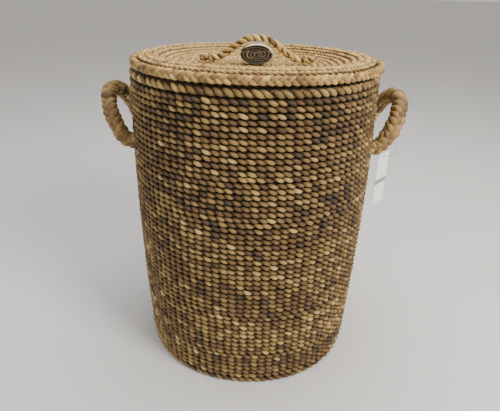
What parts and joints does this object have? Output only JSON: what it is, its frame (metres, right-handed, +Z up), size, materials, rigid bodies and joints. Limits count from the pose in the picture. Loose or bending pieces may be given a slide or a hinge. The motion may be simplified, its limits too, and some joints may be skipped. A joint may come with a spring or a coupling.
{
  "type": "woven laundry basket",
  "caption": "Tall oval laundry basket of twisted plant-fibre rope with a lift-off coiled lid, a rope arch on the lid and braided side handles.",
  "frame": {"origin": "centre of the foot ring on the floor", "axes": "+Z up, X along the longer half of the oval through both side handles, Y from front (-) to back (+)"},
  "size_m": [0.5514, 0.4026, 0.6044],
  "materials": {
    "wall_rope": "dry twisted plant fibre, satin",
    "lid_braid": "dry plaited plant fibre, satin",
    "handle_braid": "dry plaited plant fibre, satin",
    "arch_rope": "twisted plant fibre, satin",
    "cane": "peeled cane, matt",
    "roll_strip": "dark rolled leaf strip, matt",
    "pale_strip": "pale split cane strip, satin",
    "card": "white coated card",
    "clear_plastic": "clear thin plastic"
  },
  "bodies": {
    "basket": {"base_spokes": "cane", "base_weave": "wall_rope", "foot_ring": "wall_rope", "handle_root_left_front": "handle_braid", "handle_root_left_rear": "handle_braid", "handle_root_right_front": "handle_braid", "handle_root_right_rear": "handle_braid", "rim_rope": "wall_rope", "stakes": "cane", "weave_inner": "wall_rope", "weave_outer": "wall_rope"},
    "lid": {"arch_stitch_left": "arch_rope", "arch_stitch_right": "arch_rope", "lid_arch": "arch_rope", "lid_centre_braid": "lid_braid", "lid_coil_turn_01": "lid_braid", "lid_coil_turn_02": "lid_braid", "lid_coil_turn_03": "lid_braid", "lid_coil_turn_04": "lid_braid", "lid_coil_turn_05": "lid_braid", "lid_coil_turn_06": "lid_braid", "lid_coil_turn_07": "lid_braid", "lid_coil_turn_08": "lid_braid", "lid_coil_turn_09": "lid_braid", "lid_coil_turn_10": "lid_braid", "lid_coil_turn_11": "lid_braid", "lid_coil_turn_12": "lid_braid", "lid_coil_turn_13": "lid_braid", "lid_coil_turn_14": "lid_braid", "lid_coil_turn_15": "lid_braid", "lid_coil_turn_16": "lid_braid", "lid_collar": "lid_braid", "lid_rim_braid": "lid_braid", "lid_roll": "roll_strip", "lid_roll_wrap": "pale_strip"},
    "handle_left": {"handle_left": "handle_braid"},
    "handle_right": {"handle_right": "handle_braid"},
    "tag": {"tag_card": "card", "tag_loop": "clear_plastic"}
  },
  "joints": [
    {"name": "lid_lift", "type": "slide", "parent": "basket", "child": "lid", "axis": [0, 0, 1], "range_m": [0, 0.25]},
    {"name": "handle_left_swing", "type": "hinge", "parent": "basket", "child": "handle_left", "pos_m": [-0.229, 0, 0.428], "axis": [0, -1, 0], "range_deg": [-10, 5]},
    {"name": "handle_right_swing", "type": "hinge", "parent": "basket", "child": "handle_right", "pos_m": [0.229, 0, 0.428], "axis": [0, 1, 0], "range_deg": [-10, 5]},
    {"name": "tag_swing", "type": "hinge", "parent": "handle_right", "child": "tag", "pos_m": [0.23382, -0.06, 0.43899], "axis": [0.7071, -0.7071, 0], "range_deg": [0, 70]}
  ]
}
